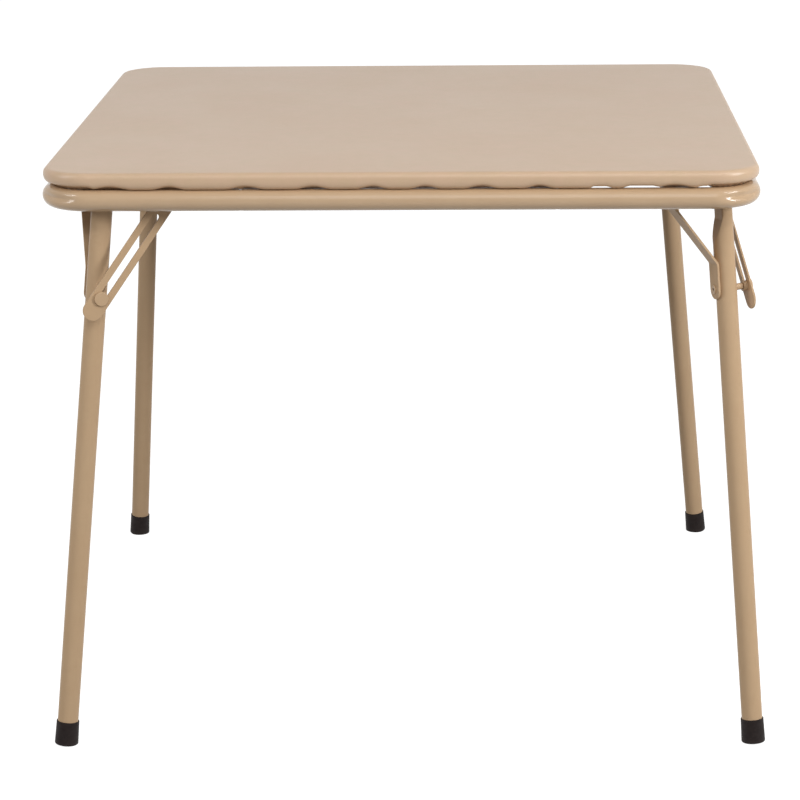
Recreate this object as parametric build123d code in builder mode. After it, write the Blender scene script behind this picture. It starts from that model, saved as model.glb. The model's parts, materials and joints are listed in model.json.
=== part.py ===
from build123d import *
import math
import os

# A square folding card table. The origin is on the floor under the middle of the top,
# X runs to the right along the front rail, Y runs from the front to the rear, Z is up.
# The four corners are alike: the front left one is described, and the other three are
# that one turned by 90 degrees about the table's middle, so the legs fold like a pinwheel.

# Whole table
frame_width = 851.0
table_height = 711.0

# Frame of bent steel tube
rail_diameter = 25.4
rail_wall = 1.2
rail_corner_radius = 60.0

# Padded top
top_inset = 2.0
cover_thickness = 1.0
board_thickness = 9.0
foam_thickness = 6.3
hem_width = 36.0
board_edge_radius = 5.0
foam_edge_radius = 5.6
top_gap = 4.5
hem_bulge_width = 9.0

# Staples that hold the hem, placed by hand along each side as shares of half the top's width
staple_shares = (-0.80, -0.635, -0.423, -0.236, -0.071, 0.073, 0.229, 0.387, 0.557, 0.668, 0.758, 0.85)
staple_crown = 11.0
staple_leg = 6.0
staple_wire = 1.1
staple_thickness = 0.6
staple_inset = 26.0

# Screws that hold the top to the frame
screws_from_middle = 185.0
screw_diameter = 4.2
screw_bite = 7.0
screw_head_diameter = 8.4
screw_head_height = 2.4
screw_hole_clearance = 0.2
driver_hole_diameter = 10.0

# Where each leg turns, and how its plane lies
hinge_from_side = 73.5
hinge_from_front = 46.0
hinge_drop = 1.7
fold_plan_angle = 20.0
fold_plane_tilt = 2.0
leg_splay = 6.5

# Leg tube
leg_diameter = 25.4
leg_wall = 1.2
leg_end_radius = 14.0
press_depth = 8.0
press_flat_end = 35.0
press_ramp_end = 61.0
press_edge_radius = 2.5

# Rubber foot cap
cap_diameter = 29.0
cap_mouth_diameter = 27.8
cap_height = 30.0
cap_floor = 4.0
cap_lip_radius = 0.7
cap_toe_radius = 2.0

# Rivets
rivet_diameter = 8.0
pivot_head_diameter = 13.0
pivot_head_height = 2.2
rivet_clearance = 0.05
face_clearance = 0.15
head_edge_radius = 0.8
rivet_tail_diameter = 11.0
rivet_tail_height = 1.8
shoulder_diameter = 11.0
rivet_eye_diameter = 4.4
rivet_eye_depth = 9.0

# Side brace, a strap from the leg's stud up to the hinge line
strap_thickness = 2.5
brace_width = 24.0
brace_flat_length = 31.0
brace_offset = 65.0
brace_top_flat = 14.0
brace_bend_radius = 6.0

# Slotted lock link
link_width = 25.0
link_angle = 37.0
link_length = 150.0
link_pivot_rise = 2.554
link_tail = 17.0
slot_length = 116.0
slot_width = 8.6
link_stand_off = 13.0
link_edge_radius = 0.6

# Stud that slides in the slot
stud_head_diameter = 17.0
stud_head_height = 3.0
stud_neck_clearance = 0.25
stud_collar_diameter = 12.5
stud_collar_height = 4.6
stud_gap = 0.3

# Brackets welded to the frame
plate_thickness = 2.0
plate_gap = 0.5
plate_lobe_radius = 12.0
plate_link_lobe_radius = 10.0
plate_tail = 26.0
plate_tail_low = 9.0
flange_start = 22.0
flange_end = 56.0
ear_thickness = 2.5
ear_lobe_radius = 12.0
ear_tail = 39.0
ear_tail_low = 8.0
ear_tail_high = 11.0

# One overrun for every cut
overrun = 5.0

# Heights and lines that follow
half_frame = frame_width / 2
rail_radius = rail_diameter / 2
rail_line = half_frame - rail_radius
top_width = frame_width - 2 * top_inset
top_thickness = foam_thickness + board_thickness + 2 * cover_thickness
top_underside = table_height - top_thickness
rail_height = top_underside - top_gap - rail_radius
board_bottom = top_underside + cover_thickness
board_top = board_bottom + board_thickness
top_corner_radius = rail_corner_radius - top_inset
board_width = top_width - 2 * cover_thickness
board_corner_radius = top_corner_radius - cover_thickness
hinge_height = rail_height - hinge_drop
leg_radius = leg_diameter / 2
fold_range = 90.0 + leg_splay
link_drop = link_length * math.cos(math.radians(link_angle)) - link_pivot_rise
stud_distance = link_drop / math.cos(math.radians(leg_splay))

corner_names = ["front_left", "front_right", "rear_right", "rear_left"]


def turned(x, y, z, corner):
    """A vector of the front left corner, turned to another corner."""
    return Vector(x, y, z).rotate(Axis.Z, 90.0 * corner)


def fold_plane(corner):
    """The plane that a leg folds in: X is where it folds to, Y is up, Z points outward."""
    plan = math.radians(fold_plan_angle)
    tilt = math.radians(fold_plane_tilt)
    pivot = turned(hinge_from_side - half_frame, hinge_from_front - half_frame, hinge_height, corner)
    along = turned(math.cos(plan), math.sin(plan), 0, corner)
    outward = turned(
        math.sin(plan) * math.cos(tilt), -math.cos(plan) * math.cos(tilt), math.sin(tilt), corner
    )
    return Plane(origin=pivot, x_dir=along, z_dir=outward)


def leg_direction(fold):
    """Down along the open leg."""
    splay = math.radians(leg_splay)
    return fold.x_dir * -math.sin(splay) - fold.y_dir * math.cos(splay)


def leg_section_plane(fold):
    """Square to the leg at its pivot, with Z down the leg and X outward."""
    return Plane(origin=fold.origin, x_dir=fold.z_dir, z_dir=leg_direction(fold))


def leg_side_plane(fold):
    """Lengthwise through the leg: X is down the leg and Y is outward."""
    down = leg_direction(fold)
    return Plane(origin=fold.origin, x_dir=down, z_dir=down.cross(fold.z_dir))


def stud_point(fold):
    """Where the stud's line meets the leg's middle line."""
    return fold.origin + leg_direction(fold) * stud_distance


def stud_plane(fold):
    return Plane(origin=stud_point(fold), x_dir=fold.x_dir, z_dir=fold.z_dir)


def link_direction(fold):
    """From the link's pivot down to the stud."""
    angle = math.radians(link_angle)
    return fold.x_dir * -math.sin(angle) - fold.y_dir * math.cos(angle)


def link_pivot_plane(fold):
    """On the link's pivot line, with X along the link."""
    down = link_direction(fold)
    return Plane(origin=stud_point(fold) - down * link_length, x_dir=down, z_dir=fold.z_dir)


def rounded_slab(plane, width, corner_radius, thickness):
    with BuildPart() as slab:
        with BuildSketch(plane):
            RectangleRounded(width, width, corner_radius)
        extrude(amount=thickness)
    return slab


def finish(name, part):
    part.label = name
    export_step(part, f"parts/{name}.step")
    print(f"{name}: {part.volume / 1000:.2f} cm3")


os.makedirs("parts", exist_ok=True)

# Rail loop: the middle line of the frame tube
with BuildSketch(Plane.XY.offset(rail_height)) as rail_plan:
    RectangleRounded(2 * rail_line, 2 * rail_line, rail_corner_radius - rail_radius)
rail_loop = rail_plan.sketch.face().outer_wire()


def sweep_round_the_frame(radius):
    """A round bar along the whole rail loop."""
    with BuildPart() as bar:
        with BuildSketch(rail_loop ^ 0):
            Circle(radius)
        sweep(path=rail_loop)
    return bar


# The frame as a solid bar, which the brackets are coped to
frame_envelope = sweep_round_the_frame(rail_radius)
frame_bore = sweep_round_the_frame(rail_radius - rail_wall)

# Eight screw places, two over each rail
screw_places = []
for side in range(len(corner_names)):
    for along in (-screws_from_middle, screws_from_middle):
        place = turned(along, -rail_line, 0, side)
        screw_places.append((place.X, place.Y))

with BuildPart() as frame_rail:
    add(frame_envelope.part)
    add(frame_bore.part, mode=Mode.SUBTRACT)
    with BuildSketch(Plane.XY.offset(rail_height)):
        with Locations(*screw_places):
            Circle(screw_diameter / 2 + screw_hole_clearance)
    extrude(amount=rail_radius + overrun, mode=Mode.SUBTRACT)
    with BuildSketch(Plane.XY.offset(rail_height)):
        with Locations(*screw_places):
            Circle(driver_hole_diameter / 2)
    extrude(amount=-rail_radius - overrun, mode=Mode.SUBTRACT)
finish("frame_rail", frame_rail.part)

# Board: a flat panel with its lower edge rounded where the cover is pulled round it
with BuildPart() as top_board:
    add(rounded_slab(Plane.XY.offset(board_bottom), board_width, board_corner_radius, board_thickness).part)
    fillet(top_board.edges().group_by(Axis.Z)[0], board_edge_radius)
finish("top_board", top_board.part)

# Foam: a thin sheet over the board with a soft upper edge
with BuildPart() as foam_pad:
    add(rounded_slab(Plane.XY.offset(board_top), board_width, board_corner_radius, foam_thickness).part)
    fillet(foam_pad.edges().group_by(Axis.Z)[-1], foam_edge_radius)
finish("foam_pad", foam_pad.part)

# Between two staples the hem bulges down to the rail, and the top rests there
staple_places = [share * top_width / 2 for share in staple_shares]
hem_bulge_depth = top_gap - face_clearance
with BuildPart() as hem_bulges:
    for side in range(len(corner_names)):
        outward = turned(0, -1, 0, side)
        for start, end in zip(staple_places, staple_places[1:]):
            middle = turned((start + end) / 2, -rail_line, top_underside, side)
            reach = (end - start) / 2
            with BuildSketch(Plane(origin=middle, x_dir=Vector(0, 0, 1).cross(outward), z_dir=outward)):
                with BuildLine():
                    ThreePointArc((-reach, 0), (0, -hem_bulge_depth), (reach, 0))
                    Line((-reach, 0), (reach, 0))
                make_face()
            extrude(amount=hem_bulge_width / 2, both=True)

# Cover: one skin over the foam, round the board's edge and back under it as a hem
with BuildPart() as vinyl_cover:
    add(rounded_slab(Plane.XY.offset(top_underside), top_width, top_corner_radius, top_thickness).part)
    fillet(vinyl_cover.edges().group_by(Axis.Z)[-1], foam_edge_radius + cover_thickness)
    fillet(vinyl_cover.edges().group_by(Axis.Z)[0], board_edge_radius + cover_thickness)
    add(top_board.part, mode=Mode.SUBTRACT)
    add(foam_pad.part, mode=Mode.SUBTRACT)
    with BuildSketch(Plane.XY.offset(top_underside)):
        RectangleRounded(
            top_width - 2 * hem_width, top_width - 2 * hem_width, top_corner_radius - hem_width
        )
    extrude(amount=cover_thickness, mode=Mode.SUBTRACT)
    add(hem_bulges.part)
    with BuildSketch(Plane.XY.offset(board_bottom)):
        with Locations(*screw_places):
            Circle(screw_diameter / 2 + screw_hole_clearance)
    extrude(amount=-cover_thickness - top_gap, mode=Mode.SUBTRACT)
finish("vinyl_cover", vinyl_cover.part)

# Staples: a flat wire crown under the hem with two legs driven into the board
staple_line = top_width / 2 - staple_inset
with BuildPart() as staples:
    for side in range(len(corner_names)):
        outward = turned(0, -1, 0, side)
        for along in staple_places:
            place = turned(along, -staple_line, top_underside, side)
            with BuildSketch(Plane(origin=place, x_dir=Vector(0, 0, 1).cross(outward), z_dir=outward)):
                with Locations((0, -staple_thickness / 2)):
                    Rectangle(staple_crown, staple_thickness)
                for end in (-1, 1):
                    with Locations((end * (staple_crown - staple_wire) / 2, staple_leg / 2)):
                        Rectangle(staple_wire, staple_leg)
            extrude(amount=staple_thickness, both=True)
finish("staples", staples.part)

# Screws: the head bears inside the upper wall of the rail, and the tip bites the board
screw_seat = rail_height + math.sqrt((rail_radius - rail_wall) ** 2 - (screw_head_diameter / 2) ** 2)
with BuildPart() as panel_screws:
    with BuildSketch(Plane.XY.offset(screw_seat - screw_head_height)):
        with Locations(*screw_places):
            Circle(screw_head_diameter / 2)
    extrude(amount=screw_head_height)
    with BuildSketch(Plane.XY.offset(screw_seat)):
        with Locations(*screw_places):
            Circle(screw_diameter / 2)
    extrude(amount=board_bottom + screw_bite - screw_seat)
finish("panel_screws", panel_screws.part)


# Layers outward from the leg's middle line
plate_inner = leg_radius + plate_gap
plate_outer = plate_inner + plate_thickness
link_inner = leg_radius + link_stand_off
link_outer = link_inner + strap_thickness
collar_inner = link_inner - face_clearance - stud_collar_height
press_line = leg_radius - press_depth
ear_inner = brace_offset + strap_thickness / 2 + face_clearance
leg_length = hinge_height / (
    math.cos(math.radians(leg_splay)) * math.cos(math.radians(fold_plane_tilt))
)


def make_pressed_bar(fold, radius, press_to, length):
    """A round bar down the leg's line, pressed flat on its inner side near the pivot."""
    with BuildPart() as bar:
        with BuildSketch(leg_section_plane(fold).offset(-leg_end_radius)):
            Circle(radius)
        extrude(amount=leg_end_radius + length)
        with BuildSketch(leg_side_plane(fold)):
            with BuildLine():
                Polyline(
                    (-leg_end_radius - overrun, -press_to),
                    (press_flat_end, -press_to),
                    (press_ramp_end, -radius),
                    (press_ramp_end, -radius - overrun),
                    (-leg_end_radius - overrun, -radius - overrun),
                    close=True,
                )
            make_face()
        extrude(amount=leg_diameter, both=True, mode=Mode.SUBTRACT)
    return bar


def leg_face_plane(fold):
    """The fold plane turned so that X runs down the leg."""
    return Plane(origin=fold.origin, x_dir=leg_direction(fold), z_dir=fold.z_dir)


def make_leg_tube(fold):
    """A round tube, open at its lower end, pressed flat on its inner side at the top."""
    tube_length = leg_length - cap_floor
    outer = make_pressed_bar(fold, leg_radius, press_line, tube_length)
    bore = make_pressed_bar(fold, leg_radius - leg_wall, press_line - leg_wall, tube_length + overrun)
    end_depth = leg_end_radius + overrun
    with BuildPart() as tube:
        add(outer.part)
        lengthwise = tube.edges().filter_by(Axis(fold.origin, leg_direction(fold)))
        fillet(lengthwise.sort_by(Axis(fold.origin, fold.z_dir))[:2], press_edge_radius)
        add(bore.part, mode=Mode.SUBTRACT)
        # The top end is rounded about the pivot, so that it clears the board as it turns
        with BuildSketch(leg_face_plane(fold)):
            with Locations((-end_depth / 2, 0)):
                Rectangle(end_depth, leg_diameter + overrun)
            Circle(leg_end_radius, mode=Mode.SUBTRACT)
        extrude(amount=leg_diameter, both=True, mode=Mode.SUBTRACT)
        for plane in (fold, stud_plane(fold)):
            with BuildSketch(plane):
                Circle(rivet_diameter / 2 + rivet_clearance)
            extrude(amount=leg_diameter, both=True, mode=Mode.SUBTRACT)
    return tube


def make_foot_cap(fold):
    """A rubber cup over the tube's end, worn flat where it stands on the floor."""
    down = leg_direction(fold)
    mouth = leg_length - cap_height
    with BuildPart() as cap:
        with BuildSketch(leg_side_plane(fold)):
            with BuildLine():
                Polyline(
                    (mouth, leg_radius),
                    (mouth, cap_mouth_diameter / 2),
                    (leg_length, cap_diameter / 2),
                    (leg_length, 0),
                    (leg_length - cap_floor, 0),
                    (leg_length - cap_floor, leg_radius),
                    close=True,
                )
            make_face()
        revolve(axis=Axis(fold.origin, down))
        rings = cap.edges().filter_by(GeomType.CIRCLE).sort_by(Axis(fold.origin, down))
        fillet(rings[-1], cap_toe_radius)
        rings = cap.edges().filter_by(GeomType.CIRCLE).sort_by(Axis(fold.origin, down))
        fillet(rings.group_by(Axis(fold.origin, down))[0].sort_by(SortBy.LENGTH)[-1], cap_lip_radius)
        split(bisect_by=Plane.XY, keep=Keep.TOP)
    return cap


def make_rivet(plane, steps, rounded_ends=1):
    """Coaxial steps, each from one height to another, with the end edges rounded."""
    with BuildPart() as rivet:
        for start, end, diameter in steps:
            with BuildSketch(plane.offset(start)):
                Circle(diameter / 2)
            extrude(amount=end - start)
        along = Axis(plane.origin, plane.z_dir)
        fillet(rivet.edges().filter_by(GeomType.CIRCLE).sort_by(along)[-1], head_edge_radius)
        if rounded_ends == 2:
            fillet(rivet.edges().filter_by(GeomType.CIRCLE).sort_by(along)[0], head_edge_radius)
    return rivet


def make_leg_pivot_rivet(fold):
    """Through the hinge plate and both walls of the pressed tube end."""
    tail_face = -press_line - face_clearance
    steps = [
        (tail_face - rivet_tail_height, tail_face, rivet_tail_diameter),
        (tail_face, plate_outer, rivet_diameter),
        (plate_outer, plate_outer + pivot_head_height, pivot_head_diameter),
    ]
    return make_rivet(fold, steps, rounded_ends=2)


def make_cross_rivet(fold):
    """A tubular rivet that clamps the brace to the tube and stands off towards the link."""
    tail_face = -leg_radius - strap_thickness
    steps = [
        (tail_face - rivet_tail_height, tail_face, rivet_tail_diameter),
        (tail_face, collar_inner - stud_gap, rivet_diameter),
    ]
    rivet = make_rivet(stud_plane(fold), steps)
    with BuildPart() as tubular:
        add(rivet.part)
        along = Axis(fold.origin, fold.z_dir)
        fillet(tubular.edges().filter_by(GeomType.CIRCLE).sort_by(along)[0], head_edge_radius)
        with BuildSketch(stud_plane(fold).offset(tail_face - rivet_tail_height)):
            Circle(rivet_eye_diameter / 2)
        extrude(amount=rivet_eye_depth, mode=Mode.SUBTRACT)
    return tubular


def make_slide_stud(fold):
    """The riveted end of the same stud: a collar, a neck in the slot and a broad head."""
    neck_start = link_inner - face_clearance
    neck_end = link_outer + face_clearance
    steps = [
        (collar_inner, neck_start, stud_collar_diameter),
        (neck_start, neck_end, slot_width - 2 * stud_neck_clearance),
        (neck_end, neck_end + stud_head_height, stud_head_diameter),
    ]
    return make_rivet(stud_plane(fold), steps)


def make_link_pivot_rivet(fold):
    """A shoulder rivet, flush in the hinge plate, that holds the link clear of the leg."""
    neck_start = link_inner - face_clearance
    neck_end = link_outer + face_clearance
    steps = [
        (plate_inner, plate_outer, rivet_diameter - 2 * head_edge_radius),
        (plate_outer, neck_start, shoulder_diameter),
        (neck_start, neck_end, rivet_diameter),
        (neck_end, neck_end + pivot_head_height, pivot_head_diameter),
    ]
    return make_rivet(link_pivot_plane(fold), steps)


def make_brace_pivot_rivet(fold):
    """Through the brace's upper eye and the ear on the side rail."""
    ear_face = -ear_inner - ear_thickness
    head_face = -brace_offset + strap_thickness / 2 + face_clearance
    steps = [
        (ear_face - rivet_tail_height, ear_face, rivet_tail_diameter),
        (ear_face, head_face, rivet_diameter),
        (head_face, head_face + pivot_head_height, pivot_head_diameter),
    ]
    return make_rivet(fold, steps, rounded_ends=2)


def make_side_brace(fold):
    """A flat strap, bent twice, from the stud up to the hinge line beside the side rail."""
    near_face = -leg_radius - strap_thickness
    far_face = -brace_offset - strap_thickness / 2
    with BuildPart() as brace:
        with BuildSketch(leg_side_plane(fold)):
            with BuildLine():
                FilletPolyline(
                    (stud_distance + brace_width, near_face),
                    (stud_distance - brace_flat_length, near_face),
                    (brace_top_flat, far_face),
                    (-brace_width, far_face),
                    radius=brace_bend_radius,
                )
                offset(amount=strap_thickness, side=Side.RIGHT)
            make_face()
        extrude(amount=brace_width, both=True)
        with BuildSketch(leg_face_plane(fold)):
            with Locations((stud_distance / 2, 0)):
                SlotCenterToCenter(stud_distance, brace_width)
        extrude(amount=brace_offset + leg_diameter, both=True, mode=Mode.INTERSECT)
        for plane in (fold, stud_plane(fold)):
            with BuildSketch(plane):
                Circle(rivet_diameter / 2 + rivet_clearance)
            extrude(amount=-brace_offset - leg_diameter, mode=Mode.SUBTRACT)
    return brace


def make_lock_link(fold):
    """A flat strap with one long slot; the stud rests at the slot's lower end."""
    plane = link_pivot_plane(fold).offset(link_inner)
    strap_length = link_length + link_tail
    with BuildPart() as link:
        with BuildSketch(plane):
            with Locations((strap_length / 2, 0)):
                SlotCenterToCenter(strap_length, link_width)
            with Locations((link_length - slot_length / 2, 0)):
                SlotCenterToCenter(slot_length, slot_width, mode=Mode.SUBTRACT)
            Circle(rivet_diameter / 2 + rivet_clearance, mode=Mode.SUBTRACT)
        extrude(amount=strap_thickness)
        rims = link.faces().sort_by(Axis(plane.origin, plane.z_dir))
        fillet(rims[0].outer_wire().edges() + rims[-1].outer_wire().edges(), link_edge_radius)
    return link


def make_hinge_bracket(fold):
    """A stamped angle: a face plate for both pivots and a top flange coped to the rail."""
    pivot = fold.to_local_coords(link_pivot_plane(fold).origin)
    plan = math.radians(fold_plan_angle)
    flange_plane = Plane(
        origin=fold.origin + fold.y_dir * plate_lobe_radius, x_dir=fold.x_dir, z_dir=fold.y_dir
    )
    rail_distance = hinge_from_front - rail_radius
    start_reach = (rail_distance - flange_start * math.sin(plan)) / math.cos(plan)
    end_reach = (rail_distance + flange_end * math.sin(plan)) / math.cos(plan)
    with BuildPart() as bracket:
        with BuildSketch(fold.offset(plate_inner)):
            Circle(plate_lobe_radius)
            with Locations((pivot.X, pivot.Y)):
                Circle(plate_link_lobe_radius)
            make_hull()
            with Locations((-plate_tail / 2, (plate_lobe_radius - plate_tail_low) / 2)):
                Rectangle(plate_tail, plate_lobe_radius + plate_tail_low)
            with Locations((flange_end / 2, plate_lobe_radius / 2)):
                Rectangle(flange_end, plate_lobe_radius)
            Circle(rivet_diameter / 2 + rivet_clearance, mode=Mode.SUBTRACT)
            with Locations((pivot.X, pivot.Y)):
                Circle(rivet_diameter / 2 - head_edge_radius + rivet_clearance, mode=Mode.SUBTRACT)
        extrude(amount=plate_thickness)
        with BuildSketch(flange_plane):
            with BuildLine():
                Polyline(
                    (-flange_start, -plate_inner),
                    (flange_end, -plate_inner),
                    (flange_end, -end_reach),
                    (-flange_start, -start_reach),
                    close=True,
                )
            make_face()
        extrude(amount=-plate_thickness)
        add(frame_envelope.part, mode=Mode.SUBTRACT)
    return bracket


def make_brace_bracket(fold):
    """A flat ear with its tail coped and welded to the side rail."""
    tail_height = ear_tail_low + ear_tail_high
    with BuildPart() as ear:
        with BuildSketch(fold.offset(-ear_inner - ear_thickness)):
            Circle(ear_lobe_radius)
            with Locations((-ear_tail / 2, (ear_tail_high - ear_tail_low) / 2)):
                Rectangle(ear_tail, tail_height)
            Circle(rivet_diameter / 2 + rivet_clearance, mode=Mode.SUBTRACT)
        extrude(amount=ear_thickness)
        add(frame_envelope.part, mode=Mode.SUBTRACT)
    return ear


corner_makers = {
    "leg_tube": make_leg_tube,
    "foot_cap": make_foot_cap,
    "hinge_bracket": make_hinge_bracket,
    "leg_pivot_rivet": make_leg_pivot_rivet,
    "side_brace": make_side_brace,
    "brace_bracket": make_brace_bracket,
    "brace_pivot_rivet": make_brace_pivot_rivet,
    "cross_rivet": make_cross_rivet,
    "lock_link": make_lock_link,
    "link_pivot_rivet": make_link_pivot_rivet,
    "slide_stud": make_slide_stud,
}

for corner, corner_name in enumerate(corner_names):
    for piece_name, make_piece in corner_makers.items():
        finish(f"{corner_name}_{piece_name}", make_piece(fold_plane(corner)).part)

# The motion that follows from the sizes, for whoever sets the joints
front_left = fold_plane(0)
link_pivot = front_left.to_local_coords(link_pivot_plane(front_left).origin)
folded_link = math.atan2(-link_pivot.Y, stud_distance - link_pivot.X)
open_link = math.radians(-90.0 - link_angle)
folded_reach = math.hypot(stud_distance - link_pivot.X, link_pivot.Y)
print(f"leg turns {fold_range:.2f} degrees about {front_left.origin} along {front_left.z_dir}")
print(f"link turns {math.degrees(folded_link - open_link):.3f} degrees about its pivot")
print(f"link pivot at {link_pivot_plane(front_left).origin}, stud slides {link_length - folded_reach:.3f} mm")
print(f"stud at {stud_point(front_left)}, slot ends {link_length - slot_length:.2f} mm from the pivot")
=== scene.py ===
# %% [markdown]
# A folding card table in Blender
#
# The table is a padded vinyl top on a frame that is bent from one steel tube. Four tube legs
# fold under it, each held open by a slotted link and a bent brace. The steel pieces arrive
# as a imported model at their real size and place, and this lesson gives them their looks:
# softer meshes where a real piece is soft or formed, paint, vinyl, rubber and light.

import json
import math
from typing import NamedTuple

import bmesh
import bpy
from mathutils import Matrix, Vector, noise


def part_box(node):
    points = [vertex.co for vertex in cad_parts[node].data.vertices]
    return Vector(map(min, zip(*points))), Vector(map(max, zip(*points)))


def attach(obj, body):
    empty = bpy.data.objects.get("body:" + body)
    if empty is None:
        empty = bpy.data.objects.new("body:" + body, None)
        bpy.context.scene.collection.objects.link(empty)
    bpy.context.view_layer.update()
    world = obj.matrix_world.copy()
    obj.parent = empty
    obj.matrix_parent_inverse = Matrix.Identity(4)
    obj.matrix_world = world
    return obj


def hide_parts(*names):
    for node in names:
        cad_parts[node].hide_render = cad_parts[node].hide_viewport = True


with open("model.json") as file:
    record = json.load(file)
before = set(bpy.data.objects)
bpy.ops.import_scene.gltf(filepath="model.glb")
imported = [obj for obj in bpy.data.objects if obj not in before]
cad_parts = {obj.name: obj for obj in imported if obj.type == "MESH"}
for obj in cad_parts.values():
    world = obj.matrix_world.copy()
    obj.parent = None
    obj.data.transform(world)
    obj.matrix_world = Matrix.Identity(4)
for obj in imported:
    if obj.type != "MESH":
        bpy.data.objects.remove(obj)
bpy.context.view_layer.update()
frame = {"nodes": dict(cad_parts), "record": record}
nodes = frame["nodes"]
mm = 0.001

# %% [markdown]
# The camera stands in front of the table, a little to the right of its middle and well above
# it, as a photographer stands to show the top and all four legs at once. Its place and its
# three angles were worked out from the outlines of the legs, the feet and the top. A long
# lens from far away keeps the front legs from looking much longer than the rear ones.

# %% Camera
picture_width = 800
focal_length_px = 2809.0
camera_place = Vector((0.1098, -3.6411, 1.3130))
camera_turn = math.radians(-1.968)
camera_dip = math.radians(15.233)
camera_roll = math.radians(-0.621)
farthest_seen = 50.0


def make_camera():
    """A camera that looks along +Y, dips towards the table and leans by its roll."""
    forward = Vector((
        math.sin(camera_turn) * math.cos(camera_dip),
        math.cos(camera_turn) * math.cos(camera_dip),
        -math.sin(camera_dip),
    ))
    level_right = Vector((math.cos(camera_turn), -math.sin(camera_turn), 0.0))
    level_up = level_right.cross(forward)
    right = level_right * math.cos(camera_roll) + level_up * math.sin(camera_roll)
    up = level_up * math.cos(camera_roll) - level_right * math.sin(camera_roll)
    data = bpy.data.cameras.new("camera")
    data.lens = focal_length_px / picture_width * data.sensor_width
    data.clip_end = farthest_seen
    camera = bpy.data.objects.new("camera", data)
    axes = Matrix((right, up, -forward)).transposed()
    camera.matrix_world = Matrix.Translation(camera_place) @ axes.to_4x4()
    bpy.context.scene.collection.objects.link(camera)
    return camera


bpy.context.scene.camera = make_camera()
bpy.context.scene.view_settings.view_transform = "Standard"
print("lens:", round(bpy.context.scene.camera.data.lens, 1), "mm")

# %% [markdown]
# Worlds, floors and finishes are all trees of shader nodes. They could be drawn by hand in
# the shader editor, but a tree in code can be read and repeated, so two small helpers make a
# node with its values and one wire at a time. Socket names are used where they tell the
# sockets apart. The node that mixes two colours has several sockets of one name, so its own
# are numbered here once.

# %% Helpers for shader nodes
mix_first, mix_second, mix_result = 6, 7, 2


def add_node(tree, kind, operation=None, values=()):
    """A node with its operation and some of its input values set, by socket index or name."""
    node = tree.nodes.new(kind)
    if operation:
        node.operation = operation
    for socket, value in values:
        node.inputs[socket].default_value = value
    return node


def link(tree, source, socket, target, place):
    """One wire, from a named or numbered output to a named or numbered input."""
    tree.links.new(source.outputs[socket], target.inputs[place])


def add_colour_mix(tree):
    """A node that mixes its first colour with its second by its factor, socket 0."""
    mix = tree.nodes.new("ShaderNodeMix")
    mix.data_type = "RGBA"
    return mix


print("colour mix sockets:", mix_first, mix_second, mix_result)

# %% [markdown]
# A studio for a pale product is a white room with a little soft light from everywhere, and
# the world stands for that room. Its white could come from stronger light, but that would
# bleach the table. So the camera and reflections are shown a white that lights nothing, and
# the table gets a soft grey light.

# %% World
room_light = 0.34
pure_white = (1.0, 1.0, 1.0, 1.0)
rays_shown_white = ("Is Camera Ray", "Is Glossy Ray", "Is Transmission Ray")


def add_white_mask(tree):
    """1 for the rays that are shown a white room, and 0 for those that carry its light."""
    rays = tree.nodes.new("ShaderNodeLightPath")
    mask, socket = rays, rays_shown_white[0]
    for kind in rays_shown_white[1:]:
        either = add_node(tree, "ShaderNodeMath", "MAXIMUM")
        link(tree, mask, socket, either, 0)
        link(tree, rays, kind, either, 1)
        mask, socket = either, 0
    return mask


def make_world():
    """White to the camera and in reflections, and a soft grey light on the table."""
    world = bpy.data.worlds.new("studio")
    world.use_nodes = True
    tree = world.node_tree
    tree.nodes.clear()
    out = tree.nodes.new("ShaderNodeOutputWorld")
    shown = add_node(tree, "ShaderNodeBackground", values=[("Color", pure_white)])
    light = add_node(tree, "ShaderNodeBackground", values=[
        ("Color", pure_white), ("Strength", room_light),
    ])
    mix = tree.nodes.new("ShaderNodeMixShader")
    link(tree, add_white_mask(tree), 0, mix, 0)
    link(tree, light, 0, mix, 1)
    link(tree, shown, 0, mix, 2)
    link(tree, mix, 0, out, "Surface")
    bpy.context.scene.world = world


make_world()
print("room light:", room_light)

# %% [markdown]
# The floor would throw too much light up under the frame if it were as white as it looks. So
# its paint is grey, and a glow that only the camera and reflections see lifts it to white
# while the feet keep their shadows.

# %% Floor
floor_paint = 0.42
floor_lift = 0.90
floor_half_width = 14.0
floor_height = -0.0002


def make_floor():
    """A floor that keeps shadows, lifted to white for the camera and for reflections."""
    material = bpy.data.materials.new("white_floor")
    material.use_nodes = True
    tree = material.node_tree
    tree.nodes.clear()
    out = tree.nodes.new("ShaderNodeOutputMaterial")
    grey = (floor_paint, floor_paint, floor_paint, 1.0)
    coat = add_node(tree, "ShaderNodeBsdfDiffuse", values=[("Color", grey)])
    lift = add_node(tree, "ShaderNodeMath", "MULTIPLY", [(1, floor_lift)])
    glow = tree.nodes.new("ShaderNodeEmission")
    both = tree.nodes.new("ShaderNodeAddShader")
    link(tree, add_white_mask(tree), 0, lift, 0)
    link(tree, lift, 0, glow, "Strength")
    link(tree, coat, 0, both, 0)
    link(tree, glow, 0, both, 1)
    link(tree, both, 0, out, "Surface")
    half = floor_half_width
    corners = [(-half, -half), (half, -half), (half, half), (-half, half)]
    mesh = bpy.data.meshes.new("floor")
    mesh.from_pydata([(x, y, floor_height) for x, y in corners], [], [(0, 1, 2, 3)])
    mesh.materials.append(material)
    floor = bpy.data.objects.new("floor", mesh)
    bpy.context.scene.collection.objects.link(floor)


make_floor()
print("floor:", 2 * floor_half_width, "m wide")

# %% [markdown]
# The room's light alone would leave the table flat. A large soft lamp high in front, a strong
# one from the right and a weaker one from the left model the round legs, and two small lamps
# higher at the sides put the small highlights on the bends of the frame. One sun would be
# simpler, but it would draw hard shadows of all four legs across the white floor.

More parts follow.
